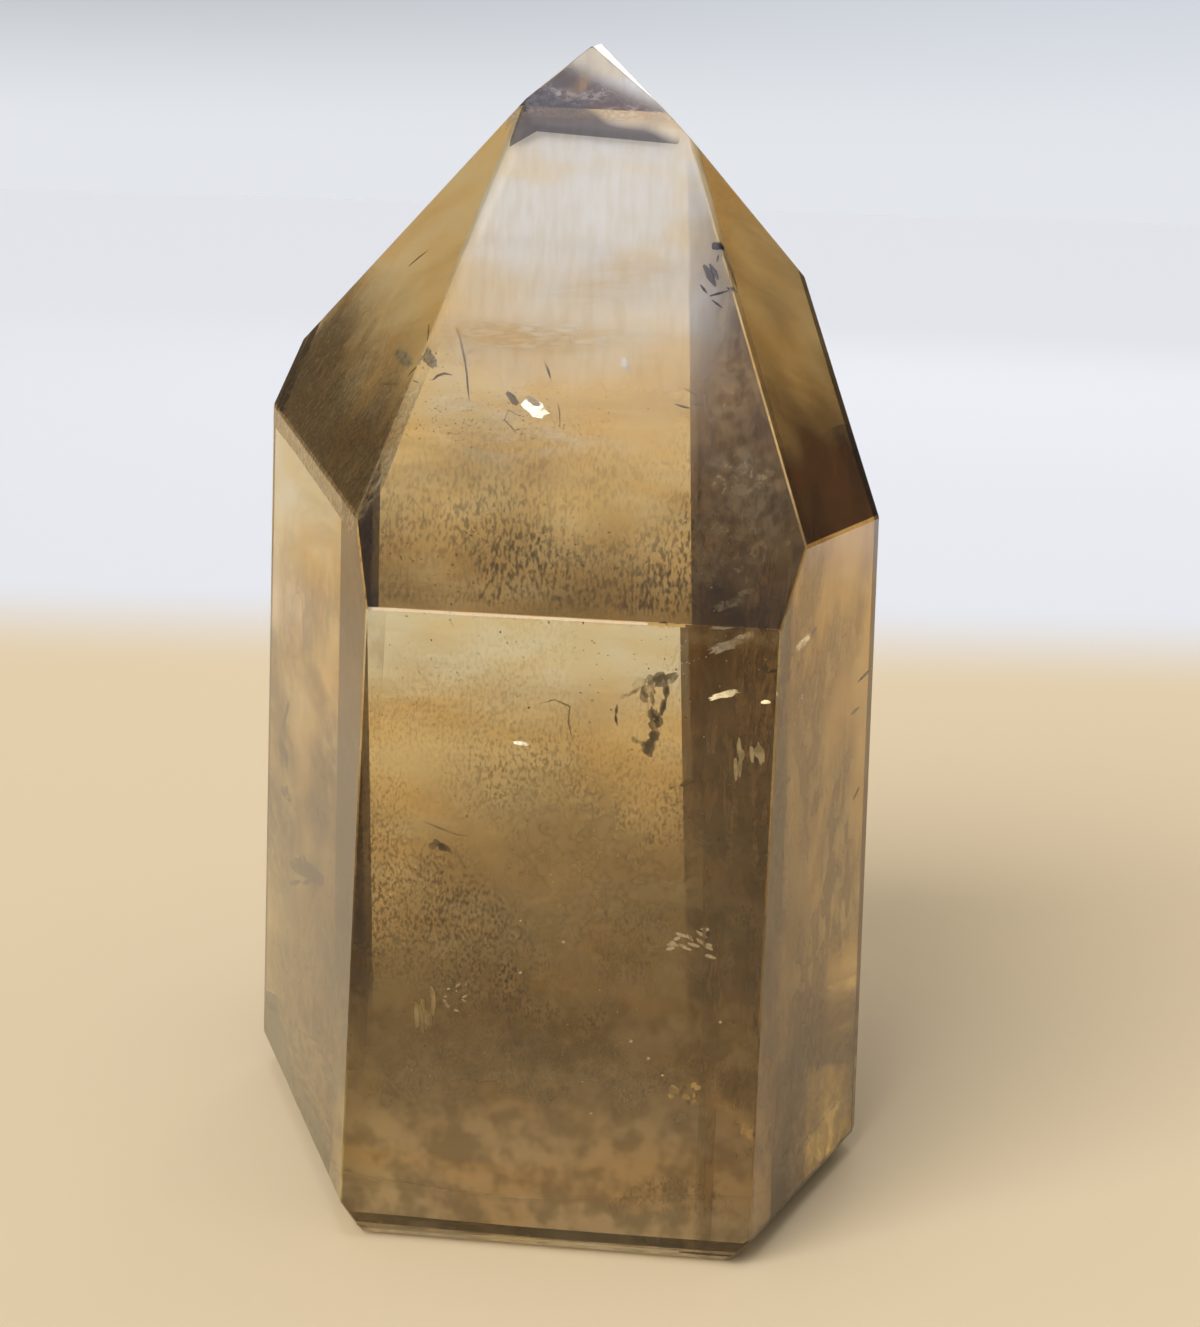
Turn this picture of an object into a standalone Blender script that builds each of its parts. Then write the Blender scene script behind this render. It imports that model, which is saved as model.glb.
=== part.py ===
"""A smoky quartz point: a six-sided column that stands on a flat base and ends in a steep faceted tip.

It is cut the way a lapidary cuts it, from a plain block. Each row of CUTS is one flat face, given by the
compass angle it faces, how far it leans back and how far it stands from the centre of the base.
"""

import math

import bmesh
import bpy
from mathutils import Vector

MM = 0.001

BLOCK_SIDE = 160 * MM  # the rough block, well outside every face
EDGE_ROUND = 0.16 * MM  # polished edges are very slightly blunt
EDGE_STEPS = 1

# name: (azimuth, lean, reach). The azimuth is in degrees from the front (-Y), positive towards +X.
# The lean is in degrees, 0 for an upright face, positive where it looks up. The reach is in mm from
# the centre of the base to the face, square to it.
CUTS = {
    # the column
    "side front": (-6.5, -0.1, 32.40),
    "side left": (-72.9, 1.8, 25.15),
    "side right": (65.8, -0.4, 30.40),
    "side back left": (-121.5, -3.1, 29.15),
    "side back right": (108.1, 2.1, 24.65),
    "side back": (172.0, -3.0, 27.80),
    # the six faces that draw in to the point
    "point front": (-6.3, 39.0, 59.40),
    "point left": (-69.3, 31.5, 52.65),
    "point right": (65.4, 32.3, 58.30),
    "point back left": (-96.7, 45.8, 71.40),
    "point back right": (91.6, 43.0, 70.55),
    "point back": (172.0, 53.0, 86.40),
    # the small faces at the very tip
    "tip front": (-5.3, 47.6, 69.40),
    "tip left": (-13.6, 45.0, 66.85),
    "tip right": (8.5, 46.0, 69.15),
    "tip sliver": (64.5, 58.1, 84.30),
    # the narrow bevels round the base
    "foot front": (-6.5, -45.0, 22.40),
    "foot left": (-72.9, -34.0, 19.20),
    "foot right": (65.8, -46.0, 19.75),
    "foot back left": (-121.5, -50.0, 16.95),
    "foot back right": (108.1, -45.0, 15.85),
    "foot back": (172.0, -45.0, 19.00),
}

SMOKE = (0.42, 0.29, 0.15, 1.0)  # warm grey brown
ROUGHNESS = 0.03
METALLIC = 0.0
CRYSTAL_IOR = 1.544
TRANSMISSION = 1.0


def clear_scene():
    for obj in list(bpy.data.objects):
        bpy.data.objects.remove(obj, do_unlink=True)
    for mesh in list(bpy.data.meshes):
        bpy.data.meshes.remove(mesh)


def facing(azimuth, lean):
    """The outward direction of a face."""
    turn, tilt = math.radians(azimuth), math.radians(lean)
    return Vector((math.cos(tilt) * math.sin(turn), -math.cos(tilt) * math.cos(turn), math.sin(tilt)))


def rough_block(bm):
    """A block that stands on the ground, its base centred on the origin."""
    made = bmesh.ops.create_cube(bm, size=BLOCK_SIDE)
    bmesh.ops.translate(bm, verts=made["verts"], vec=(0, 0, BLOCK_SIDE / 2))


def grind(bm, azimuth, lean, reach):
    """Takes away all that stands outside one face, and closes the cut with a flat polygon."""
    out = facing(azimuth, lean)
    whole = bm.verts[:] + bm.edges[:] + bm.faces[:]
    cut = bmesh.ops.bisect_plane(
        bm, geom=whole, dist=1e-7, plane_co=out * reach * MM, plane_no=out, clear_outer=True
    )
    rim = [e for e in cut["geom_cut"] if isinstance(e, bmesh.types.BMEdge)]
    bmesh.ops.holes_fill(bm, edges=rim, sides=0)


def crystal_material():
    mat = bpy.data.materials.new("smoky_quartz")
    mat.use_nodes = True
    shader = mat.node_tree.nodes["Principled BSDF"]
    shader.inputs["Base Color"].default_value = SMOKE
    shader.inputs["Roughness"].default_value = ROUGHNESS
    shader.inputs["Metallic"].default_value = METALLIC
    shader.inputs["IOR"].default_value = CRYSTAL_IOR
    shader.inputs["Transmission Weight"].default_value = TRANSMISSION
    mat.diffuse_color = SMOKE
    return mat


def crystal_point(collection):
    bm = bmesh.new()
    rough_block(bm)
    for azimuth, lean, reach in CUTS.values():
        grind(bm, azimuth, lean, reach)
    bmesh.ops.recalc_face_normals(bm, faces=bm.faces)
    mesh = bpy.data.meshes.new("crystal")
    bm.to_mesh(mesh)
    bm.free()
    crystal = bpy.data.objects.new("crystal", mesh)
    collection.objects.link(crystal)
    mesh.materials.append(crystal_material())

    blunt = crystal.modifiers.new("polished edges", "BEVEL")
    blunt.width = EDGE_ROUND
    blunt.segments = EDGE_STEPS
    blunt.limit_method = "ANGLE"
    blunt.angle_limit = math.radians(3)
    return crystal


clear_scene()
point = bpy.data.collections.new("smoky_quartz_point")
bpy.context.scene.collection.children.link(point)
crystal_point(point)
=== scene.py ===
"""A polished point of smoky quartz, with the veils, flakes and needles that grew inside it, and the shade and
highlights painted under its faces.

Places inside it are in millimetres in its own frame: x to the right, y towards the back, z up from its base.
"""

import math
import random

import bmesh
import bpy
from mathutils import Matrix, Vector, noise


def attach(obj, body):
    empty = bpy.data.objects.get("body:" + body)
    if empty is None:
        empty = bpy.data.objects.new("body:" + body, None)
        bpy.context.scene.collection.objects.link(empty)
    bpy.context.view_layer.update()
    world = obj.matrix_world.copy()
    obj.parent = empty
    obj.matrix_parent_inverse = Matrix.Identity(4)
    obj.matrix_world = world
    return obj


MM = 0.001
BODY = "root"

# camera, floor and light, in metres
CAMERA_PLACE = Vector((3.925, -220.578, 90.635)) * MM
CAMERA_PITCH = math.radians(12.0)  # looks down by this much
CAMERA_ROLL = math.radians(-1.698)
LENS_MM = 65.11
SENSOR_MM = 36.0
FLOOR_SIDE = 8.0
FLOOR_DROP = 0.3 * MM  # the floor lies this far under the base, so the two never share a plane
FLOOR_WARM = (0.78, 0.635, 0.41, 1.0)
FLOOR_COOL = (0.80, 0.83, 0.88, 1.0)
FLOOR_STRAW = (0.60, 0.455, 0.26, 1.0)  # far on the left, where the left face mirrors it
FLOOR_STRAW_EDGE = (-0.055, -0.010)  # full, and gone, this far outside the left edge of the camera's view
VIEW_SPREAD = 0.249  # how fast the camera's left edge of view runs outwards
FLOOR_WARM_REACH = 0.190  # the warm tone ends this far behind the crystal
FLOOR_COOL_REACH = 0.280
ROOM_TONE = (0.36, 0.34, 0.32, 1.0)
SIDE_TONE = (0.075, 0.070, 0.062, 1.0)
BACK_LOW_TONE = (0.77, 0.79, 0.83, 1.0)
BACK_LEFT_TONE = (0.46, 0.48, 0.51, 1.0)
BACK_RIGHT_TONE = (0.62, 0.66, 0.72, 1.0)
CEILING_TONE = (0.50, 0.48, 0.45, 1.0)
SKYLIGHT_TONE = (1.95, 1.90, 2.20, 1.0)
# where one tone of the room starts to change to the next, and where it has, as a part of a unit direction
SIDES_EDGE = (-0.45, 0.05)
WALL_EDGE = (0.85, 0.965)
WALL_LEFT_TO_RIGHT = (-0.25, 0.25)
WALL_LOW_EDGE = (0.0, 0.09)
CEILING_EDGE = (0.35, 0.80)
SKYLIGHT_EDGE = (0.935, 0.985)
LIGHTS_AIM = (0, 0, 0.05)
KEY_FROM = (-0.34, -0.46, 0.46)
KEY_SPREAD = math.radians(44)
KEY_STRENGTH = 2.5
GLINT_LIGHT_PLACE = (0.20, 0.92, 0.47)  # behind and above: the narrow face beside the tip mirrors it
GLINT_LIGHT_SIZE = 0.24
GLINT_LIGHT_WATTS = 0.38

# the quartz
QUARTZ_IOR = 1.544
SMOKE_TINT = (0.910, 0.815, 0.54, 1.0)
SMOKE_DENSITY = 30.0
BROAD_FACE = 4e-6  # square metres: a smaller flat of the crystal is part of a polished edge
FACE_DEPTH = 0.12 * MM  # how deep the painted shade under each face reaches

# where each face looks: azimuth from the front towards +X, and lean up from upright, in degrees
FRONT = (-6.5, -0.1)
LEFT = (-72.9, 1.8)
RIGHT = (65.8, -0.4)
FAR_RIGHT = (108.1, 2.1)
FAR_LEFT = (-121.5, -3.1)
POINT_FRONT = (-6.3, 39.0)
POINT_LEFT = (-69.3, 31.5)
POINT_RIGHT = (65.4, 32.3)
TIP_FRONT = (-5.3, 47.6)
TIP_LEFT = (-13.6, 45.0)
FOOT_RIGHT = (65.8, -46.0)
RIM_RIGHT = (65.8, -23.2)

# what lies inside, in millimetres
CLEAR_OF_FACE = 0.45  # how far the grains, and most veils, keep from the crystal's own faces
FLAKE_CLEAR = 0.1  # flakes, wisps and feathers may come this near
VEIL_CELLS = 26
FINER = 6.0  # a mist's fine grain is this many times as fine as its clouds
THREAD_START = 0.35  # the part of its thickness that a thread starts with
THREAD_SWELL = 2.6  # how much it grows to its second place
THREAD_END = 0.25  # the part of that which is left at its end
GLINT = Vector((-0.19, -0.85, 0.49))  # the way a flake faces when it catches the key light
LOW_GLINT = Vector((-0.22, -0.92, 0.33))  # the same, in the column
LEFT_GLINT = Vector((-0.46, -0.73, 0.50))  # the same, under the left of the point


# ---------------------------------------------------------------- nodes


def add(tree, kind, links=None, **values):
    """One node: its properties by name, and what feeds its sockets."""
    node = tree.nodes.new(kind)
    for name, value in values.items():
        setattr(node, name, value)
    for socket, source in (links or {}).items():
        if isinstance(source, bpy.types.NodeSocket):
            tree.links.new(source, node.inputs[socket])
        else:
            node.inputs[socket].default_value = source
    return node


def new_material(name):
    mat = bpy.data.materials.new(name)
    mat.use_nodes = True
    tree = mat.node_tree
    return mat, tree, tree.nodes["Principled BSDF"], tree.nodes["Material Output"]


def product(tree, a, b):
    return add(tree, "ShaderNodeMath", {0: a, 1: b}, operation="MULTIPLY").outputs[0]


def ramp(tree, source, low, high, out_low=0.0, out_high=1.0):
    links = {"Value": source, "From Min": low, "From Max": high, "To Min": out_low, "To Max": out_high}
    return add(tree, "ShaderNodeMapRange", links, interpolation_type="SMOOTHSTEP").outputs["Result"]


def blend_colour(tree, factor, a, b):
    node = add(tree, "ShaderNodeMix", {0: factor, 6: a, 7: b}, data_type="RGBA")
    return node.outputs[2]


def grain(tree, place, scale, detail, stretch=(1, 1, 1), turn=(0, 0, 0), shift=0.0):
    """Noise in the crystal's own space, stretched and turned as the growth runs."""
    mapping = add(
        tree,
        "ShaderNodeMapping",
        {"Vector": place, "Location": (shift, shift, shift), "Rotation": turn, "Scale": stretch},
    )
    node = add(
        tree,
        "ShaderNodeTexNoise",
        {"Vector": mapping.outputs[0], "Scale": scale, "Detail": detail, "Roughness": 0.6},
    )
    return node.outputs["Fac"]


# ---------------------------------------------------------------- stage


def pale_floor_finish():
    mat, tree, shader, _ = new_material("pale floor")
    shader.inputs["Roughness"].default_value = 0.9
    place = add(tree, "ShaderNodeTexCoord").outputs["Object"]
    split = add(tree, "ShaderNodeSeparateXYZ", {0: place})
    fade = ramp(tree, split.outputs["Y"], FLOOR_WARM_REACH, FLOOR_COOL_REACH)
    colour = blend_colour(tree, fade, FLOOR_WARM, FLOOR_COOL)
    spread = {0: split.outputs["Y"], 1: VIEW_SPREAD, 2: VIEW_SPREAD * -CAMERA_PLACE.y}
    outwards = add(tree, "ShaderNodeMath", spread, operation="MULTIPLY_ADD").outputs[0]
    aside = add(tree, "ShaderNodeMath", {0: split.outputs["X"], 1: outwards}, operation="ADD").outputs[0]
    colour = blend_colour(tree, ramp(tree, aside, *FLOOR_STRAW_EDGE), FLOOR_STRAW, colour)
    tree.links.new(colour, shader.inputs["Base Color"])
    return mat


def pale_floor():
    bm = bmesh.new()
    bmesh.ops.create_grid(bm, x_segments=1, y_segments=1, size=FLOOR_SIDE / 2)
    bmesh.ops.translate(bm, verts=bm.verts, vec=(0, 0, -FLOOR_DROP))
    mesh = bpy.data.meshes.new("floor")
    bm.to_mesh(mesh)
    bm.free()
    floor = bpy.data.objects.new("floor", mesh)
    bpy.context.scene.collection.objects.link(floor)
    mesh.materials.append(pale_floor_finish())


def studio_light():
    """A pale wall behind the crystal, a quiet room with a skylight, a soft key light and a small glint."""
    world = bpy.data.worlds.new("studio")
    world.use_nodes = True
    tree = world.node_tree
    towards = add(tree, "ShaderNodeTexCoord").outputs["Generated"]
    split = add(tree, "ShaderNodeSeparateXYZ", {0: towards})
    beside = ramp(tree, split.outputs["Y"], *SIDES_EDGE)
    behind = ramp(tree, split.outputs["Y"], *WALL_EDGE)
    across = ramp(tree, split.outputs["X"], *WALL_LEFT_TO_RIGHT)
    raised = ramp(tree, split.outputs["Z"], *WALL_LOW_EDGE)
    above = ramp(tree, split.outputs["Z"], *CEILING_EDGE)
    overhead = ramp(tree, split.outputs["Z"], *SKYLIGHT_EDGE)
    wall = blend_colour(tree, across, BACK_LEFT_TONE, BACK_RIGHT_TONE)
    wall = blend_colour(tree, raised, BACK_LOW_TONE, wall)
    tone = blend_colour(tree, beside, ROOM_TONE, SIDE_TONE)
    tone = blend_colour(tree, behind, tone, wall)
    tone = blend_colour(tree, above, tone, CEILING_TONE)
    tone = blend_colour(tree, overhead, tone, SKYLIGHT_TONE)
    tree.links.new(tone, tree.nodes["Background"].inputs["Color"])
    bpy.context.scene.world = world
    key = bpy.data.lights.new("key", "SUN")
    key.angle = KEY_SPREAD
    key.energy = KEY_STRENGTH
    hang(key, KEY_FROM)
    glint = bpy.data.lights.new("glint", "AREA")
    glint.shape = "DISK"
    glint.size = GLINT_LIGHT_SIZE
    glint.energy = GLINT_LIGHT_WATTS
    hang(glint, GLINT_LIGHT_PLACE)


def hang(light, place):
    lamp = bpy.data.objects.new(light.name, light)
    bpy.context.scene.collection.objects.link(lamp)
    aim = Vector(LIGHTS_AIM) - Vector(place)
    lamp.matrix_world = Matrix.Translation(place) @ aim.to_track_quat("-Z", "Y").to_matrix().to_4x4()


def camera():
    scene = bpy.context.scene
    forward = Vector((0, math.cos(CAMERA_PITCH), -math.sin(CAMERA_PITCH)))
    down = Vector((0, -math.sin(CAMERA_PITCH), -math.cos(CAMERA_PITCH)))
    right = Vector((1, 0, 0))
    rolled_right = right * math.cos(CAMERA_ROLL) + down * math.sin(CAMERA_ROLL)
    rolled_down = down * math.cos(CAMERA_ROLL) - right * math.sin(CAMERA_ROLL)
    lens = bpy.data.cameras.new("camera")
    lens.lens = LENS_MM
    lens.sensor_width = SENSOR_MM
    lens.clip_start = 0.01
    eye = bpy.data.objects.new("camera", lens)
    scene.collection.objects.link(eye)
    place = Matrix((rolled_right, -rolled_down, -forward)).transposed().to_4x4()
    place.translation = CAMERA_PLACE
    eye.matrix_world = place
    scene.camera = eye
    scene.view_settings.view_transform = "Standard"


def light_paths():
    """How often light may pass a face of the crystal and a veil inside it before it is dropped."""
    scene = bpy.context.scene
    scene.cycles.transparent_max_bounces = 20
    scene.cycles.max_bounces = 6
    scene.cycles.diffuse_bounces = 2
    scene.cycles.transmission_bounces = 6
    scene.cycles.use_denoising = True


# ---------------------------------------------------------------- the crystal's faces


def facing(azimuth, lean):
    """The outward direction of a face, from its azimuth and its lean in degrees."""
    turn, tilt = math.radians(azimuth), math.radians(lean)
    return Vector((math.cos(tilt) * math.sin(turn), -math.cos(tilt) * math.cos(turn), math.sin(tilt)))


def crystal_planes(node):
    """(outward normal, distance from the origin) of each broad flat face of the crystal."""
    areas = {}
    for face in node.data.polygons:
        key = tuple(round(c, 2) for c in face.normal)
        reach = face.normal.dot(node.data.vertices[face.vertices[0]].co)
        found = areas.setdefault(key, [0.0, face.normal.copy(), reach])
        found[0] += face.area
    return [(normal, reach) for area, normal, reach in areas.values() if area > BROAD_FACE]


def inside(place, planes, margin):
    return all(normal.dot(place) < reach - margin for normal, reach in planes)


def trim_to_crystal(bm, planes, margin):
    """Cuts away all of a mesh that comes nearer than the margin to a face of the crystal."""
    for normal, reach in planes:
        whole = bm.verts[:] + bm.edges[:] + bm.faces[:]
        if whole:
            bmesh.ops.bisect_plane(
                bm,
                geom=whole,
                dist=1e-7,
                plane_co=normal * (reach - margin),
                plane_no=normal,
                clear_outer=True,
            )


def finish_piece(name, bm, material):
    bmesh.ops.recalc_face_normals(bm, faces=bm.faces)
    mesh = bpy.data.meshes.new(name)
    bm.to_mesh(mesh)
    bm.free()
    mesh.materials.append(material)
    piece = bpy.data.objects.new(name, mesh)
    bpy.context.scene.collection.objects.link(piece)
    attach(piece, BODY)
    return piece


# ---------------------------------------------------------------- finishes


# painted shade close under each face, which darkens it where it shows shade: where the face looks and its
# reach, how much lower the shade starts for each millimetre to the right, three heights, and the colour at
# each
PAINTED_FACE_SHADE = {
    "left of the point": (
        POINT_LEFT, 52.65, 0.6, (40.0, 57.0, 71.0),
        ((0.27, 0.20, 0.10, 1), (0.30, 0.23, 0.12, 1), (1.0, 0.92, 0.70, 1)),
    ),
    "right of the point": (
        POINT_RIGHT, 58.30, 0.0, (50.0, 66.0, 96.0),
        ((0.014, 0.005, 0.001, 1), (0.014, 0.005, 0.001, 1), (0.90, 0.74, 0.44, 1)),
    ),
    "front of the point": (
        POINT_FRONT, 59.40, 0.0, (50.0, 53.5, 69.0),
        ((0.17, 0.14, 0.09, 1), (0.17, 0.14, 0.09, 1), (1.0, 1.0, 1.0, 1)),
    ),
    "front": (
        FRONT, 32.40, -0.25, (4.0, 24.0, 62.0),
        ((0.84, 0.72, 0.52, 1), (0.60, 0.52, 0.38, 1), (0.92, 0.88, 0.78, 1)),
    ),
    "left": (
        LEFT, 25.15, 0.0, (8.0, 34.0, 52.0),
        ((1.0, 0.86, 0.36, 1), (0.30, 0.16, 0.030, 1), (1.0, 0.84, 0.58, 1)),
    ),
    "right": (
        RIGHT, 30.40, 0.0, (6.0, 28.0, 60.0),
        ((0.70, 0.52, 0.25, 1), (0.36, 0.25, 0.10, 1), (0.85, 0.66, 0.34, 1)),
    ),
    "foot on the right": (
        FOOT_RIGHT, 19.75, 0.0, (0.0, 4.0, 14.0),
        ((0.08, 0.07, 0.05, 1), (0.08, 0.07, 0.05, 1), (0.12, 0.10, 0.07, 1)),
    ),
    "rim on the right": (
        RIM_RIGHT, 27.15, 0.0, (0.0, 4.0, 14.0),
        ((0.14, 0.11, 0.07, 1), (0.14, 0.11, 0.07, 1), (0.14, 0.11, 0.07, 1)),
    ),
    # painted shade, clear at its top, where a white mist paints the highlight
    "front of the tip": (
        TIP_FRONT, 69.40, 0.45, (92.0, 97.2, 99.4),
        ((0.06, 0.052, 0.052, 1), (0.06, 0.052, 0.052, 1), (1.0, 1.0, 1.0, 1)),
    ),
    "left of the tip": (
        TIP_LEFT, 66.85, 0.0, (90.0, 92.0, 100.0),
        ((0.045, 0.040, 0.040, 1), (0.045, 0.040, 0.040, 1), (0.11, 0.10, 0.11, 1)),
    ),
}
BANDING_DEEP = (0.98, 0.86, 0.66, 1.0)  # soft level bands of honey colour that run through the quartz
BANDING_PALE = (1.0, 1.0, 1.0, 1.0)
CLOUD_LIFT = 0.020  # the noise raises and lowers the painted shade's heights by up to half of this, in metres


def smoky_quartz():
    """Clear brown quartz. Each face is polished, and has its own painted shade close under it, which leaves
    the top of the tip's front clear for its painted highlight.
    """
    mat, tree, shader, out = new_material("smoky quartz")
    shader.inputs["IOR"].default_value = QUARTZ_IOR
    shader.inputs["Transmission Weight"].default_value = 1.0
    place = add(tree, "ShaderNodeTexCoord").outputs["Object"]
    split = add(tree, "ShaderNodeSeparateXYZ", {0: place})
    cloud = grain(tree, place, 90.0, 1.0, shift=0.3)
    lifted = add(tree, "ShaderNodeMath", {0: cloud, 1: -0.5}, operation="ADD").outputs[0]
    lifted = product(tree, lifted, CLOUD_LIFT)
    height = add(tree, "ShaderNodeMath", {0: split.outputs["Z"], 1: lifted}, operation="ADD").outputs[0]
    colour = None
    for look, reach, slope, (low, middle, high), (foot, belt, top) in PAINTED_FACE_SHADE.values():
        out_from_middle = add(
            tree, "ShaderNodeVectorMath", {0: place, 1: facing(*look)}, operation="DOT_PRODUCT"
        ).outputs["Value"]
        on_face = add(
            tree, "ShaderNodeMath", {0: out_from_middle, 1: reach * MM - FACE_DEPTH}, operation="GREATER_THAN"
        ).outputs[0]
        level = add(
            tree, "ShaderNodeMath", {0: split.outputs["X"], 1: slope, 2: height}, operation="MULTIPLY_ADD"
        ).outputs[0]
        # painted shade: each face darkens from its top colour down to its belt and foot colours
        painted_shade = blend_colour(tree, ramp(tree, level, low * MM, middle * MM), foot, belt)
        painted_shade = blend_colour(tree, ramp(tree, level, middle * MM, high * MM), painted_shade, top)
        colour = blend_colour(tree, on_face, colour or (1, 1, 1, 1), painted_shade)
    banded = grain(tree, place, 210.0, 2.0, stretch=(0.40, 0.40, 1.0), shift=5.2)
    banding = blend_colour(tree, ramp(tree, banded, 0.36, 0.58), BANDING_DEEP, BANDING_PALE)
    colour = add(
        tree, "ShaderNodeMix", {0: 1.0, 6: colour, 7: banding}, data_type="RGBA", blend_type="MULTIPLY"
    ).outputs[2]
    tree.links.new(colour, shader.inputs["Base Color"])

    handled = grain(tree, place, 260.0, 1.0, shift=1.7)
    tree.links.new(ramp(tree, handled, 0.50, 0.75, 0.0, 0.07), shader.inputs["Roughness"])
    smoke = add(tree, "ShaderNodeVolumeAbsorption", {"Color": SMOKE_TINT, "Density": SMOKE_DENSITY})
    tree.links.new(smoke.outputs["Volume"], out.inputs["Volume"])
    return mat


def mist(
    name, pale, deep, strength, scale, low, high, stretch=(1, 1, 1), turn=(0, 0, 0), shift=0.0, thin=0.35
):
    """A thin veil inside the quartz: see-through, thicker where the noise and the sheet's own weight say.
    Its clouds run from clear at the noise's low to full at its high. thin is how much of it is left in the
    gaps of its finer grain."""
    mat, tree, shader, _ = new_material(name)
    shader.inputs["Roughness"].default_value = 0.95
    shader.inputs["Specular IOR Level"].default_value = 0.0
    place = add(tree, "ShaderNodeTexCoord").outputs["Object"]
    coarse = grain(tree, place, scale, 1.0, stretch, turn, shift)
    fine = grain(tree, place, scale * FINER, 2.0, stretch, turn, shift + 4.0)
    body = product(tree, ramp(tree, coarse, low, high), ramp(tree, fine, 0.30, 0.62, thin, 1.0))
    weight = add(tree, "ShaderNodeAttribute", attribute_name="weight").outputs["Fac"]
    alpha = product(tree, product(tree, body, weight), strength)
    tree.links.new(alpha, shader.inputs["Alpha"])
    tree.links.new(blend_colour(tree, ramp(tree, fine, 0.35, 0.65), deep, pale), shader.inputs["Base Color"])
    return mat


def grit(name, colour, strength, scale, low, high, patch, stretch, shift):
    """A sheet of fine grains with clear quartz between them, gathered in patches."""
    mat, tree, shader, _ = new_material(name)
    shader.inputs["Roughness"].default_value = 0.9
    shader.inputs["Specular IOR Level"].default_value = 0.0
    shader.inputs["Base Color"].default_value = colour
    place = add(tree, "ShaderNodeTexCoord").outputs["Object"]
    grains = ramp(tree, grain(tree, place, scale, 1.0, stretch, shift=shift), low, high)
    patches = ramp(tree, grain(tree, place, patch, 2.0, shift=shift + 2.0), 0.32, 0.64)
    weight = add(tree, "ShaderNodeAttribute", attribute_name="weight").outputs["Fac"]
    alpha = product(tree, product(tree, product(tree, grains, patches), weight), strength)
    tree.links.new(alpha, shader.inputs["Alpha"])
    return mat


def silver_crack():
    """The bright inner face of a tiny crack, which shines like foil and is broken into plumes."""
    mat, tree, shader, _ = new_material("silver crack")
    shader.inputs["Metallic"].default_value = 0.75
    place = add(tree, "ShaderNodeTexCoord").outputs["Object"]
    plume = grain(tree, place, 1600.0, 4.0, stretch=(0.5, 1, 1), shift=0.8)
    tree.links.new(ramp(tree, plume, 0.3, 0.7, 0.18, 0.40), shader.inputs["Roughness"])
    shade = blend_colour(tree, ramp(tree, plume, 0.34, 0.56), (0.80, 0.78, 0.74, 1), (1.0, 1.0, 1.0, 1))
    tree.links.new(shade, shader.inputs["Base Color"])
    bump = add(tree, "ShaderNodeBump", {"Strength": 0.35, "Distance": 0.1 * MM, "Height": plume}).outputs[0]
    tree.links.new(bump, shader.inputs["Normal"])
    return mat


def solid_speck(name, dark, light):
    """A mottled grain, needle, thread or feather that is not see-through."""
    mat, tree, shader, _ = new_material(name)
    place = add(tree, "ShaderNodeTexCoord").outputs["Object"]
    mottle = grain(tree, place, 900.0, 4.0)
    shade = blend_colour(tree, ramp(tree, mottle, 0.38, 0.62), dark, light)
    tree.links.new(shade, shader.inputs["Base Color"])
    tree.links.new(ramp(tree, mottle, 0.35, 0.65, 0.3, 0.6), shader.inputs["Roughness"])
    bump = add(tree, "ShaderNodeBump", {"Strength": 0.4, "Distance": 0.05 * MM, "Height": mottle}).outputs[0]
    tree.links.new(bump, shader.inputs["Normal"])
    return mat


def smoke_wisp():
    """A torn brown film: see-through at its ragged edges."""
    mat, tree, shader, _ = new_material("smoke wisp")
    shader.inputs["Roughness"].default_value = 0.8
    place = add(tree, "ShaderNodeTexCoord").outputs["Object"]
    torn = grain(tree, place, 700.0, 3.0, stretch=(1, 1, 0.45))
    tree.links.new(ramp(tree, torn, 0.30, 0.60, 0.08, 0.50), shader.inputs["Alpha"])
    shade = blend_colour(tree, ramp(tree, torn, 0.4, 0.6), (0.28, 0.20, 0.11, 1), (0.13, 0.09, 0.05, 1))
    tree.links.new(shade, shader.inputs["Base Color"])
    return mat


# ---------------------------------------------------------------- shapes inside


def veil(
    name,
    material,
    centre,
    size,
    look,
    bow,
    ripple,
    seed,
    fade=None,
    soft=(4, 4),
    climb=0.0,
    clear=CLEAR_OF_FACE,
):
    """A gently waved sheet, which looks the way given and is bowed and rippled by so many millimetres.
    fade is (z of full weight, z where it is gone), and climb is how much higher that lies for each
    millimetre to the right. soft says how suddenly the sheet thins out towards its sides and its ends: a
    larger number is more sudden. clear is how far it keeps from the crystal's faces."""
    bm = bmesh.new()
    bmesh.ops.create_grid(bm, x_segments=VEIL_CELLS, y_segments=VEIL_CELLS, size=0.5)
    weight = bm.verts.layers.float.new("weight")
    for v in bm.verts:
        u, w = v.co.x * 2, v.co.y * 2
        v[weight] = max(0.0, (1 - u ** soft[0]) * (1 - w ** soft[1]))
        wave = noise.noise(Vector((u * 1.1, w * 1.1, seed * 7.3)))
        v.co = Vector((v.co.x * size[0], v.co.y * size[1], bow * (u * u + w * w - 1) + ripple * 2 * wave))
    bmesh.ops.scale(bm, verts=bm.verts, vec=(MM, MM, MM))
    turn = facing(*look).to_track_quat("Z", "Y").to_matrix()
    bmesh.ops.rotate(bm, verts=bm.verts, cent=(0, 0, 0), matrix=turn)
    bmesh.ops.translate(bm, verts=bm.verts, vec=Vector(centre) * MM)
    trim_to_crystal(bm, PLANES, clear * MM)
    if fade:
        for v in bm.verts:
            t = ((v.co.z - climb * v.co.x) / MM - fade[1]) / (fade[0] - fade[1])
            t = min(1.0, max(0.0, t))
            v[weight] *= t * t * (3 - 2 * t)
    return finish_piece(name, bm, material)


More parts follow.
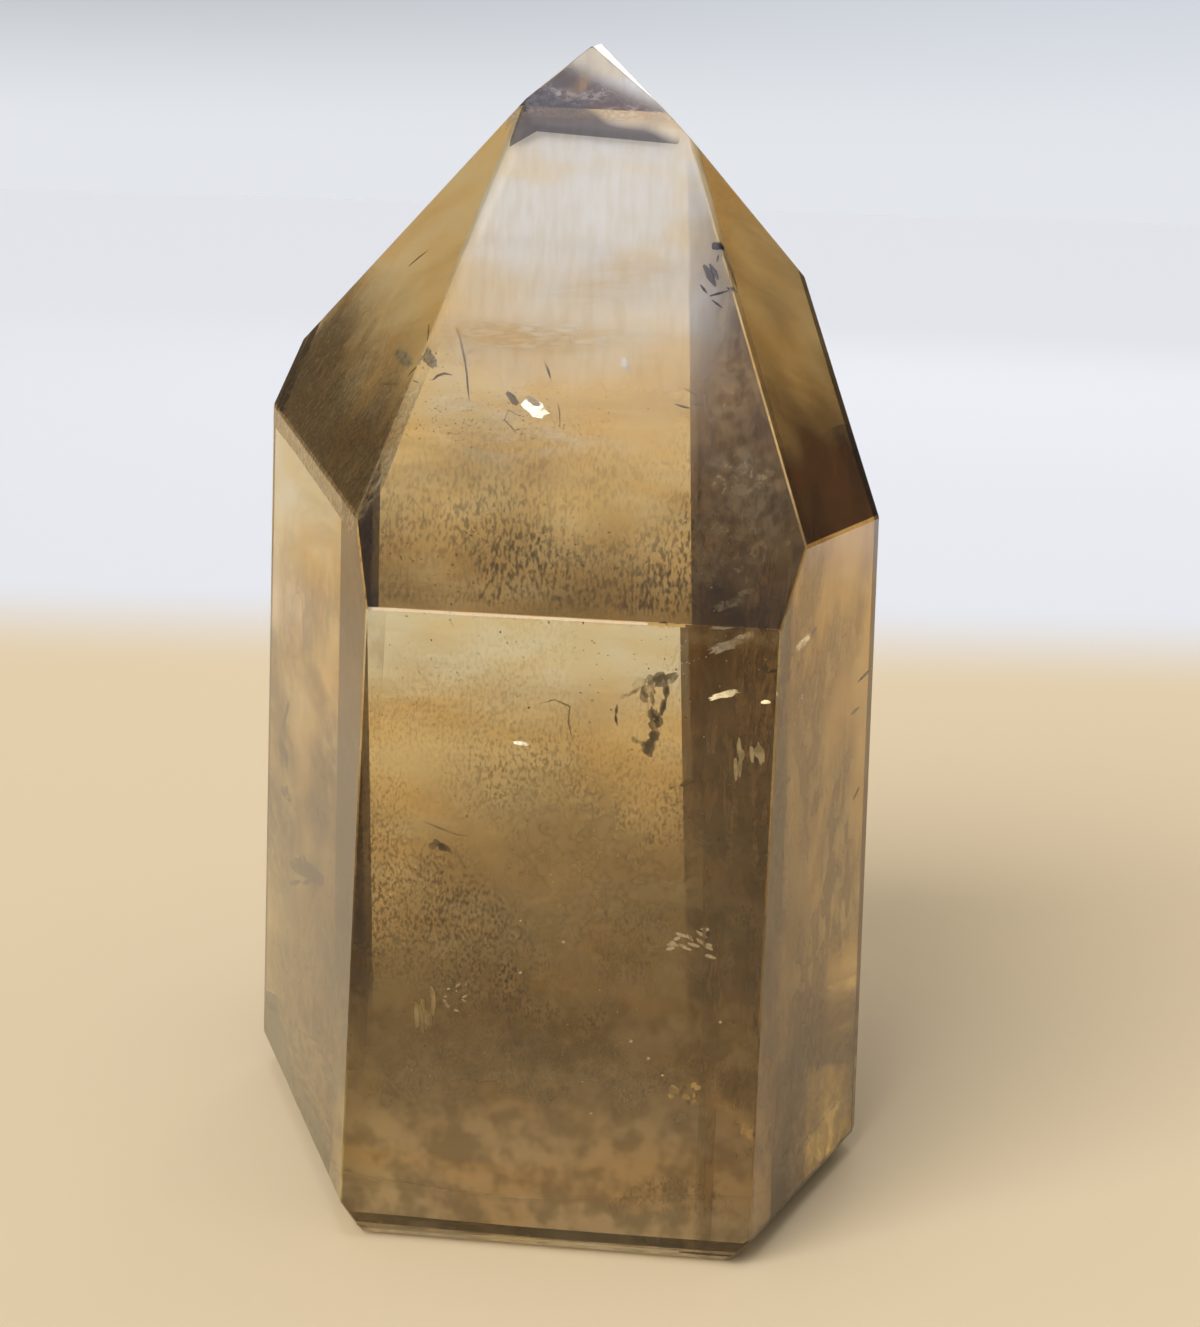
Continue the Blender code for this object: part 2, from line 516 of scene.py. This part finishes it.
def thread(bm, places, thick):
    """A thin tapered strand through the places, given in mm."""
    points = [Vector(p) * MM for p in places]
    along = (points[1] - points[0]).normalized()
    made = bmesh.ops.create_circle(bm, cap_ends=True, radius=thick / 2 * MM * THREAD_START, segments=5)
    rim = made["verts"]
    bmesh.ops.rotate(bm, verts=rim, cent=(0, 0, 0), matrix=along.to_track_quat("Z", "Y").to_matrix())
    bmesh.ops.translate(bm, verts=rim, vec=points[0])
    cap = rim[0].link_faces[0]
    last = len(points) - 1
    for i in range(1, len(points)):
        made = bmesh.ops.extrude_face_region(bm, geom=[cap])["geom"]
        rim = [v for v in made if isinstance(v, bmesh.types.BMVert)]
        cap = [f for f in made if isinstance(f, bmesh.types.BMFace)][0]
        bmesh.ops.translate(bm, verts=rim, vec=points[i] - points[i - 1])
        ahead = (points[min(i + 1, last)] - points[i - 1]).normalized()
        bend = along.rotation_difference(ahead).to_matrix()
        bmesh.ops.rotate(bm, verts=rim, cent=points[i], matrix=bend)
        along = ahead
        grow = THREAD_END if i == last else (THREAD_SWELL if i == 1 else 1.0)
        bmesh.ops.scale(bm, verts=rim, vec=(grow, grow, grow), space=Matrix.Translation(-points[i]))


def flake(bm, start, end, width, rnd, thick=0.06, tip=25.0, sides=11, ragged=0.28, towards=GLINT):
    """A thin ragged plate from start to end, in mm. tip turns it about its own length, in degrees."""
    a, b = Vector(start) * MM, Vector(end) * MM
    length = (b - a).length
    made = bmesh.ops.create_circle(bm, cap_ends=True, radius=0.5, segments=sides)
    verts = made["verts"]
    for v in verts:
        v.co *= 1 - ragged * rnd.random()
    bmesh.ops.scale(bm, verts=verts, vec=(length, width * MM, 1))
    made = bmesh.ops.extrude_face_region(bm, geom=[verts[0].link_faces[0]])["geom"]
    top = [v for v in made if isinstance(v, bmesh.types.BMVert)]
    bmesh.ops.translate(bm, verts=top, vec=(0, 0, thick * MM))
    verts = verts + top
    run = (b - a).normalized()
    face = (towards - run * run.dot(towards)).normalized()
    face = Matrix.Rotation(math.radians(tip), 3, run) @ face
    side = face.cross(run)
    lay = Matrix((run, side, face)).transposed()
    bmesh.ops.rotate(bm, verts=verts, cent=(0, 0, 0), matrix=lay)
    bmesh.ops.translate(bm, verts=verts, vec=(a + b) / 2)


def plume(bm, start, end, width, rnd, count=9, towards=GLINT):
    """A smoky streak of small overlapping films, dense along the middle and torn at its edges."""
    a, b = Vector(start), Vector(end)
    for _ in range(count):
        first = rnd.uniform(0.0, 0.62)
        last = first + rnd.uniform(0.25, 0.38)
        stray = Vector([rnd.gauss(0, width * 0.16) for _ in range(3)])
        breadth = width * rnd.uniform(0.30, 0.75)
        ends = a.lerp(b, first) + stray, a.lerp(b, last) + stray
        flake(bm, *ends, breadth, rnd, thick=0.03, tip=0, sides=13, ragged=0.35, towards=towards)


def speck(bm, place, size, rnd):
    """One tiny four-sided grain."""
    spin = Matrix.Rotation(rnd.uniform(0, 6.28), 4, "X") @ Matrix.Rotation(rnd.uniform(0, 6.28), 4, "Z")
    squash = Matrix.Diagonal((1, rnd.uniform(0.4, 1), rnd.uniform(0.4, 1), 1))
    bmesh.ops.create_cone(
        bm,
        cap_ends=True,
        segments=3,
        radius1=size * MM / 2,
        radius2=0,
        depth=size * MM * 0.8,
        matrix=Matrix.Translation(place) @ spin @ squash,
    )


def dust(name, material, clouds, seed):
    """Grains scattered about several places. Each cloud is (centre, spread, count, size), in mm."""
    rnd = random.Random(seed)
    bm = bmesh.new()
    for centre, spread, count, size in clouds:
        for _ in range(count):
            place = Vector([c + rnd.gauss(0, s) for c, s in zip(centre, spread)]) * MM
            if inside(place, PLANES, CLEAR_OF_FACE * MM):
                speck(bm, place, size * rnd.uniform(0.5, 1.5), rnd)
    return finish_piece(name, bm, material)


def smoke_veils():
    """The haze deep in the foot, the mist and strokes close under the faces, the smoke at the back sides, and
    painted shade and highlights.
    """
    haze = mist(
        "brown haze", pale=(0.66, 0.525, 0.34, 1), deep=(0.40, 0.31, 0.185, 1), strength=0.84,
        scale=48.0, low=0.22, high=0.58, shift=0.5, thin=0.70,
    )
    foot = mist(
        "foot haze", pale=(0.84, 0.68, 0.46, 1), deep=(0.58, 0.465, 0.30, 1), strength=0.90,
        scale=60.0, low=0.20, high=0.55, shift=8.5, thin=0.75,
    )
    # painted shade: a dark brown sheet under the left face
    left_painted_shade = mist(
        "left painted shade", pale=(0.17, 0.10, 0.035, 1), deep=(0.09, 0.05, 0.016, 1), strength=0.80,
        scale=80.0, low=0.34, high=0.62, stretch=(0.6, 0.6, 1.5), shift=4.4, thin=0.45,
    )
    mottle = mist(
        "tip mottle", pale=(0.80, 0.74, 0.78, 1), deep=(0.20, 0.15, 0.15, 1), strength=0.55,
        scale=260.0, low=0.35, high=0.60, shift=6.6, thin=0.40,
    )
    # a white mist that paints the pale reflection at the top of the point's front and the highlight on the
    # tip
    pale = mist(
        "painted highlight mist", pale=(0.97, 0.98, 1.0, 1), deep=(0.94, 0.94, 0.92, 1), strength=0.90,
        scale=170.0, low=0.05, high=0.45, stretch=(1, 0.18, 0.18), shift=2.0, thin=0.92,
    )
    smoke = mist(
        "deep smoke", pale=(0.30, 0.19, 0.085, 1), deep=(0.19, 0.115, 0.045, 1), strength=0.88,
        scale=45.0, low=0.0, high=0.35, shift=6.0, thin=0.85,
    )
    # painted shade: amber and dark brown patches under the right face
    amber = mist(
        "amber painted shade", pale=(0.60, 0.42, 0.20, 1), deep=(0.22, 0.15, 0.07, 1), strength=0.80,
        scale=85.0, low=0.36, high=0.60, stretch=(1, 1, 0.6), turn=(0, 0.5, 0), shift=7.7,
    )
    # painted shade: dark brown patches under the left face
    brown = mist(
        "brown painted shade", pale=(0.22, 0.15, 0.075, 1), deep=(0.10, 0.065, 0.03, 1), strength=0.56,
        scale=95.0, low=0.40, high=0.68, stretch=(1, 1, 0.8), turn=(0, 0.5, 0), shift=9.2,
    )
    heart = mist(
        "heart haze", pale=(0.56, 0.45, 0.28, 1), deep=(0.34, 0.27, 0.16, 1), strength=0.74,
        scale=80.0, low=0.12, high=0.50, shift=3.1, thin=0.55,
    )
    # painted shade: a dark sheet close under the left of the point, darkest towards its bottom
    olive = mist(
        "olive painted shade", pale=(0.66, 0.54, 0.34, 1), deep=(0.20, 0.145, 0.075, 1), strength=0.94,
        scale=200.0, low=0.10, high=0.50, stretch=(1, 1, 0.7), turn=(0, 0.6, 0), shift=16.3,
        thin=0.55,
    )
    honey = mist(
        "honey wisp", pale=(1.0, 0.96, 0.88, 1), deep=(0.88, 0.60, 0.24, 1), strength=0.62,
        scale=200.0, low=0.40, high=0.66, stretch=(0.20, 0.8, 0.8), shift=14.2, thin=0.5,
    )
    streaks = mist(
        "honey streaks", pale=(0.95, 0.66, 0.24, 1), deep=(0.80, 0.50, 0.16, 1), strength=0.26,
        scale=55.0, low=0.42, high=0.62, stretch=(0.45, 1, 2.6), shift=3.1,
    )
    band = mist(
        "band wisp", pale=(0.78, 0.62, 0.38, 1), deep=(0.46, 0.34, 0.18, 1), strength=0.40,
        scale=190.0, low=0.20, high=0.66, stretch=(1, 1, 0.40), turn=(0, 0.35, 0), shift=12.1,
        thin=0.5,
    )
    corner = mist(
        "corner haze", pale=(0.80, 0.70, 0.56, 1), deep=(0.58, 0.47, 0.34, 1), strength=0.92,
        scale=120.0, low=-0.2, high=0.40, shift=11.4, thin=0.80,
    )
    # fine dark strokes in the stone, which also paint shade towards the bottom of the point's front
    strokes = grit(
        "dark strokes and painted shade", colour=(0.060, 0.042, 0.022, 1), strength=0.90, scale=3500.0, low=0.40,
        high=0.70, patch=60.0, stretch=(1, 0.42, 0.36), shift=1.1,
    )
    grains = grit(
        "brown grit", colour=(0.10, 0.070, 0.038, 1), strength=0.85, scale=4000.0, low=0.42,
        high=0.70, patch=80.0, stretch=(1, 0.7, 0.60), shift=3.4,
    )
    veil(
        "haze_front", haze, centre=(0.0, -24.0, 22.0), size=(44, 62), look=(-4, 3), bow=1.2,
        ripple=1.6, fade=(22, 53), seed=2, climb=0.40,
    )
    veil(
        "haze_middle", haze, centre=(0.0, -2.0, 16.0), size=(60, 42), look=(-14, 5), bow=2.5,
        ripple=2.5, fade=(12, 38), seed=4, climb=0.25,
    )
    veil(
        "haze_low", foot, centre=(0.0, -6.0, 7.0), size=(60, 50), look=(0, 82), bow=1.0,
        ripple=1.5, seed=6,
    )
    veil(
        "haze_foot", foot, centre=(0.0, -28.0, 8.0), size=(46, 34), look=(-6.5, -4), bow=0.0,
        ripple=0.6, fade=(4, 22), seed=13,
    )
    veil(
        "grit_front", grains, centre=(0.0, -27.0, 30.0), size=(46, 58), look=(-6.5, 0), bow=0.3,
        ripple=0.8, fade=(30, 60), seed=13, climb=0.3,
    )
    # painted reflection: white mist close under the top of the point's front
    veil(
        "top_painted_reflection", pale, centre=(2.0, -12.3, 77.8), size=(26, 41), look=POINT_FRONT, bow=0.0,
        ripple=0.08, fade=(87, 62), seed=7, soft=(8, 60), clear=0.12,
    )
    # painted highlight: white mist close under the top of the tip's front
    veil(
        "tip_painted_highlight", pale, centre=(4.4, 2.9, 96.6), size=(24, 10.5), look=TIP_FRONT, bow=0.0,
        ripple=0.05, fade=(99.2, 97.0), seed=17, climb=-0.45, soft=(40, 40), clear=0.10,
    )
    veil(
        "tip_mottle", mottle, centre=(2.4, 4.6, 96.0), size=(26, 10.5), look=TIP_FRONT, bow=0.2,
        ripple=0.4, seed=19, soft=(40, 40), clear=0.10,
    )
    # strokes that thicken towards the bottom of the point's front, where they also paint shade
    veil(
        "strokes_and_painted_shade", strokes, centre=(-1.0, -22.0, 62.8), size=(40, 24), look=POINT_FRONT,
        bow=0.0, ripple=0.1, fade=(55, 72), seed=9, soft=(20, 60), climb=0.25,
    )
    veil(
        "honey_streaks", streaks, centre=(0.0, 4.0, 66.0), size=(52, 40), look=(-3, 12), bow=1.0,
        ripple=1.5, seed=8,
    )
    veil(
        "honey_low", streaks, centre=(-6.0, 8.0, 40.0), size=(40, 36), look=(-6, 6), bow=1.0,
        ripple=1.5, seed=18,
    )
    veil(
        "honey_wisps", honey, centre=(0.5, -16.2, 73.5), size=(26, 26), look=POINT_FRONT, bow=0.0,
        ripple=0.05, seed=23, soft=(8, 2), clear=0.12,
    )
    veil(
        "band_wisps", band, centre=(16.5, -23.2, 66.5), size=(9.4, 42), look=POINT_FRONT, bow=0.0,
        ripple=0.05, seed=24, soft=(20, 6), clear=0.12,
    )
    veil(
        "haze_heart", heart, centre=(4.0, -27.4, 33.0), size=(32, 22), look=(-6.5, 0), bow=0.6,
        ripple=0.8, seed=25, soft=(2, 2),
    )
    # painted shade under the lower part of the left of the point
    veil(
        "painted_shade_point_left", olive, centre=(-22.6, -4.0, 62.0), size=(44, 40), look=POINT_LEFT,
        bow=0.0, ripple=0.1, fade=(57, 71), seed=26, climb=-0.6, soft=(40, 40), clear=0.12,
    )
    veil(
        "deep_smoke_right", smoke, centre=(21.0, 6.9, 46.0), size=(60, 150), look=FAR_RIGHT,
        bow=0.0, ripple=0.2, seed=10, soft=(20, 20),
    )
    veil(
        "deep_smoke_left", smoke, centre=(-21.4, 23.1, 38.0), size=(40, 100), look=FAR_LEFT,
        bow=0.0, ripple=0.2, seed=12, soft=(20, 10),
    )
    # painted shade: patches under the left face
    veil(
        "painted_shade_patch_left", brown, centre=(-21.5, -8.0, 38.0), size=(40, 40), look=LEFT, bow=0.3,
        ripple=0.8, seed=14,
    )
    veil(
        "haze_corner", corner, centre=(27.4, -10.2, 6.0), size=(34, 26), look=RIGHT, bow=0.1,
        ripple=0.1, fade=(6, 17), seed=21, soft=(20, 20), clear=0.12,
    )
    # painted shade under the middle of the left face
    veil(
        "painted_shade_left", left_painted_shade, centre=(-20.9, -8.4, 34.0), size=(60, 42), look=LEFT, bow=0.0,
        ripple=0.1, seed=20, soft=(20, 2),
    )
    # painted shade under the right face
    veil(
        "painted_shade_right", amber, centre=(20.5, -18.0, 32.0), size=(44, 90), look=RIGHT, bow=0.5,
        ripple=1.0, seed=15,
    )


def silver_flakes(material):
    """Tiny bright cracks, each turned so that it catches the light."""
    rnd = random.Random(11)
    bm = bmesh.new()
    flake(bm, (-3.3, -10.9, 67.4), (-0.7, -11.9, 66.2), 1.7, rnd, tip=0, sides=19, ragged=0.34)
    flake(bm, (-2.9, -11.0, 67.9), (-1.4, -11.5, 67.0), 0.7, rnd, tip=14, sides=13, ragged=0.4)
    flake(bm, (-13.0, -3.7, 71.3), (-10.5, -11.5, 70.6), 1.3, rnd, tip=0, sides=17, towards=LEFT_GLINT)
    flake(bm, (5.2, -11.5, 72.1), (5.8, -12.6, 70.9), 0.7, rnd, tip=0, sides=15)
    flake(bm, (3.0, -10.4, 73.2), (3.6, -10.1, 73.7), 0.25, rnd, tip=0)
    flake(
        bm, (13.1, -20.2, 50.2), (16.7, -19.6, 51.5), 1.0, rnd, tip=4, sides=23, ragged=0.45,
        towards=LOW_GLINT,
    )
    flake(
        bm, (13.2, -20.3, 46.3), (16.7, -20.7, 47.3), 0.7, rnd, tip=-4, sides=23, ragged=0.45,
        towards=LOW_GLINT,
    )
    flake(
        bm, (15.5, -18.5, 51.2), (17.5, -18.7, 52.0), 0.6, rnd, tip=6, sides=17, ragged=0.45,
        towards=LOW_GLINT,
    )
    flake(bm, (17.6, -24.7, 46.9), (18.5, -24.8, 47.0), 0.4, rnd, tip=0, towards=LOW_GLINT)
    flake(bm, (-2.8, -24.4, 42.7), (-1.3, -24.6, 42.5), 0.4, rnd, tip=0, towards=LOW_GLINT)
    for _ in range(15):  # a torn patch low on the right
        x, z = rnd.uniform(10.0, 13.4), rnd.uniform(26.6, 29.2)
        y = -31.4 - 0.11 * x
        end = (x + rnd.uniform(0.4, 1.3), y - 0.1, z - rnd.uniform(-0.3, 0.7))
        flake(bm, (x, y, z), end, 0.35, rnd, towards=LOW_GLINT)
    for _ in range(9):  # a small broken ring low on the left
        turn = rnd.uniform(0, 6.28)
        x, z = -7.5 + 0.8 * math.cos(turn), 21.5 + 1.0 * math.sin(turn)
        end = (x + rnd.uniform(0.2, 0.5), -30.7, z + rnd.uniform(-0.5, 0.5))
        flake(bm, (x, -30.6, z), end, 0.2, rnd, towards=LOW_GLINT)
    glints = ((7.3, 18.8), (10.0, 16.0), (8.8, 17.4), (-2.0, 24.1), (1.5, 27.0), (4.2, 12.2), (14.6, 21.0))
    for x, z in glints:
        y = -31.5 - 0.11 * x
        flake(bm, (x, y, z), (x + 0.3, y, z + 0.1), 0.25, rnd, towards=LOW_GLINT)
    for a, b in (
        ((24.8, -13.9, 45.7), (26.6, -10.0, 46.4)),
        ((24.3, -15.0, 43.1), (25.4, -12.6, 43.4)),
        ((25.1, -13.1, 34.8), (25.9, -11.3, 35.8)),
        ((23.2, -15.3, 28.6), (23.1, -15.6, 27.2)),
    ):
        flake(bm, a, b, 0.45, rnd, tip=60)
    trim_to_crystal(bm, PLANES, FLAKE_CLEAR * MM)
    return finish_piece("silver_flakes", bm, material)


def dark_inclusions(needles, wisps, brown):
    """The blue-black needles high on the right, the brown threads of the point, and the torn wisps below."""
    bm = bmesh.new()
    for a, b, thick in (
        ((11.9, -10.8, 81.2), (12.9, -12.3, 79.5), 0.80),
        ((12.4, -10.8, 81.3), (13.1, -11.9, 80.1), 0.60),
        ((12.7, -9.4, 83.1), (13.2, -9.6, 82.3), 1.00),
        ((13.3, -9.3, 82.4), (13.0, -10.7, 81.5), 0.30),
        ((11.6, -12.1, 79.6), (12.2, -12.7, 78.9), 0.30),
        ((12.4, -12.9, 78.7), (14.0, -12.7, 79.2), 0.30),
        ((13.9, -12.5, 79.5), (14.3, -12.3, 78.9), 0.30),
        ((12.6, -13.2, 78.4), (13.5, -13.8, 77.8), 0.25),
        ((12.4, -8.2, 81.2), (13.6, -10.2, 78.9), 0.50),
    ):
        middle = [(p + q) / 2 for p, q in zip(a, b)]
        thread(bm, (a, middle, b), thick)
    finish_piece("dark_needles", bm, needles)

    bm = bmesh.new()
    rnd = random.Random(5)
    flake(bm, (-4.9, -9.9, 68.3), (-3.1, -11.4, 66.8), 0.9, rnd, tip=20, ragged=0.45)
    for places, thick in (
        (
            (
                (-9.3, -7.9, 73.8),
                (-8.9, -8.2, 73.0),
                (-8.6, -9.1, 72.0),
                (-8.3, -9.8, 71.0),
                (-8.1, -10.5, 70.1),
                (-7.9, -11.5, 68.8),
                (-7.7, -12.5, 67.7),
            ),
            0.20,
        ),
        (((-8.5, -9.6, 71.2), (-7.9, -9.2, 71.7), (-7.7, -9.0, 71.9)), 0.16),
        (((-11.0, -11.7, 69.6), (-10.6, -11.5, 70.0), (-10.0, -11.4, 70.2), (-9.3, -11.6, 70.1)), 0.28),
        (((-1.3, -9.6, 70.7), (-1.0, -10.0, 70.1), (-0.8, -10.6, 69.5)), 0.30),
        (((-0.1, -12.2, 67.6), (0.1, -12.8, 66.9), (0.2, -13.8, 65.6)), 0.14),
        (
            (
                (-3.3, -12.7, 66.4),
                (-4.3, -12.3, 66.9),
                (-4.6, -12.9, 66.1),
                (-3.7, -13.6, 65.3),
                (-2.7, -13.5, 65.5),
            ),
            0.12,
        ),
        (((8.6, -10.7, 73.6), (8.75, -10.4, 74.0), (8.9, -10.1, 74.4)), 0.18),
        (((5.8, -10.7, 71.7), (7.2, -10.8, 71.75), (8.7, -10.9, 71.8)), 0.06),
        (((9.9, -14.0, 68.2), (10.6, -14.1, 68.0), (11.2, -14.3, 67.9)), 0.30),
        (((11.3, -14.1, 68.3), (12.0, -14.2, 68.2), (12.5, -14.3, 68.1)), 0.22),
        (((10.6, -13.0, 69.5), (11.2, -13.3, 69.2), (11.7, -13.6, 68.9)), 0.14),
        (((-14.1, -7.5, 68.9), (-13.2, -9.7, 69.1), (-12.2, -11.9, 69.4)), 0.25),
        (((-12.6, 7.1, 78.2), (-11.6, 6.1, 79.0), (-10.6, 4.8, 79.8)), 0.30),
    ):
        thread(bm, places, thick)
    finish_piece("brown_threads", bm, brown)

    bm = bmesh.new()
    rnd = random.Random(9)
    for a, b, width in (
        ((6.2, -17.5, 45.6), (9.0, -17.8, 47.2), 0.45),
        ((8.2, -17.8, 46.7), (11.9, -18.1, 48.9), 1.5),
        ((8.6, -17.8, 47.0), (9.5, -17.9, 43.0), 1.05),
        ((10.4, -17.9, 47.6), (9.5, -17.9, 43.4), 0.6),
        ((9.2, -17.9, 44.0), (9.4, -17.9, 40.8), 1.2),
        ((10.7, -18.0, 38.0), (13.1, -18.3, 39.2), 0.45),
        ((7.4, -15.7, 42.1), (9.3, -15.9, 40.9), 0.8),
        ((6.0, -17.5, 45.4), (6.2, -17.6, 42.8), 0.28),
        ((18.6, -28.8, 50.1), (17.3, -25.0, 49.9), 0.7),
    ):
        plume(bm, a, b, width * 1.25, rnd)
    plume(bm, (-9.4, -30.5, 35.4), (-7.7, -30.6, 33.9), 1.1, rnd)
    thread(bm, ((-10.1, -30.3, 36.6), (-8.7, -30.5, 36.1), (-7.5, -30.7, 35.7), (-6.3, -30.8, 35.6)), 0.16)
    beside = facing(*LEFT)
    for a, b, width in (
        ((-26.2, 6.4, 33.7), (-24.5, 0.6, 32.2), 2.6),
        ((-26.1, 5.5, 29.3), (-24.1, -1.0, 29.9), 1.3),
        ((-25.6, 3.1, 22.5), (-17.6, -22.2, 28.7), 1.7),
        ((-24.5, -0.5, 21.4), (-19.0, -17.9, 27.6), 0.8),
        ((-24.7, 1.9, 38.9), (-26.2, 6.5, 34.0), 1.4),
    ):
        plume(bm, a, b, width * 1.2, rnd, 12, beside)
    hook = (
        (-0.5, -20.7, 45.5),
        (0.7, -20.9, 45.9),
        (2.0, -21.0, 45.4),
        (1.9, -21.0, 44.1),
        (2.3, -21.0, 42.5),
    )
    thread(bm, hook, 0.18)
    trim_to_crystal(bm, PLANES, FLAKE_CLEAR * MM)
    finish_piece("smoke_wisps", bm, wisps)


def gold_feathers(material):
    """Three small patches of golden feathers, just under the front face."""
    rnd = random.Random(21)
    bm = bmesh.new()
    for _ in range(10):
        x, z = rnd.uniform(15.0, 17.2), rnd.uniform(43.6, 45.4)
        flake(bm, (x, -33.5, z), (x + rnd.uniform(-0.1, 0.2), -33.5, z - rnd.uniform(0.9, 2.2)), 0.45, rnd)
    for _ in range(10):
        x, z = rnd.uniform(-11.2, -8.9), rnd.uniform(20.2, 22.6)
        flake(bm, (x, -30.5, z), (x + rnd.uniform(-0.2, 0.3), -30.5, z - rnd.uniform(1.4, 3.6)), 0.5, rnd)
    for _ in range(9):
        x, z = rnd.uniform(10.6, 13.0), rnd.uniform(13.9, 15.4)
        flake(bm, (x, -32.8, z), (x + rnd.uniform(0.2, 0.8), -32.9, z - rnd.uniform(-0.5, 0.7)), 0.5, rnd)
    trim_to_crystal(bm, PLANES, FLAKE_CLEAR * MM)
    return finish_piece("gold_feathers", bm, material)


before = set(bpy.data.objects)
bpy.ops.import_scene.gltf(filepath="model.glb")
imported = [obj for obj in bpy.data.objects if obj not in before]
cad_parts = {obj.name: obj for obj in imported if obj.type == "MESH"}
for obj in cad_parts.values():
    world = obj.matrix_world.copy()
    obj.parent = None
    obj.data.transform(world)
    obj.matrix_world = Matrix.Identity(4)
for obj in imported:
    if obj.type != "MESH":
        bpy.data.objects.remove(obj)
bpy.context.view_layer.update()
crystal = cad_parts["crystal"]
PLANES = crystal_planes(crystal)
crystal.material_slots[0].material = smoky_quartz()

camera()
light_paths()
pale_floor()
studio_light()

smoke_veils()
silver_flakes(silver_crack())
dark_inclusions(
    solid_speck("blue black needle", (0.010, 0.012, 0.030, 1), (0.05, 0.055, 0.10, 1)),
    smoke_wisp(),
    solid_speck("brown thread", (0.06, 0.04, 0.025, 1), (0.16, 0.11, 0.07, 1)),
)
gold_feathers(solid_speck("gold feather", (0.55, 0.42, 0.20, 1), (0.85, 0.72, 0.42, 1)))
dust(
    "brown_dust",
    solid_speck("brown grain", (0.05, 0.035, 0.02, 1), (0.18, 0.12, 0.07, 1)),
    (
        ((-6.0, -13.0, 66.0), (6.0, 1.5, 1.6), 420, 0.16),
        ((0.0, -24.5, 57.5), (9.0, 1.5, 2.2), 420, 0.18),
        ((-6.0, -22.0, 44.0), (7.0, 3.0, 5.0), 300, 0.14),
        ((0.0, -15.0, 22.0), (14.0, 8.0, 12.0), 500, 0.20),
        ((-13.0, 0.0, 67.0), (3.0, 6.0, 3.0), 120, 0.16),
    ),
    31,
)
dust(
    "pale_dust",
    solid_speck("pale grain", (0.80, 0.74, 0.62, 1), (0.98, 0.95, 0.90, 1)),
    (
        ((9.5, -8.5, 79.0), (2.2, 1.0, 1.4), 26, 0.14),
        ((2.0, -26.0, 18.0), (11.0, 2.0, 9.0), 160, 0.14),
        ((15.0, -24.0, 40.0), (3.0, 3.0, 8.0), 60, 0.15),
        ((23.0, -13.0, 35.0), (2.0, 4.0, 12.0), 60, 0.15),
        ((11.0, -26.0, 51.5), (2.0, 0.8, 0.8), 30, 0.16),
    ),
    37,
)
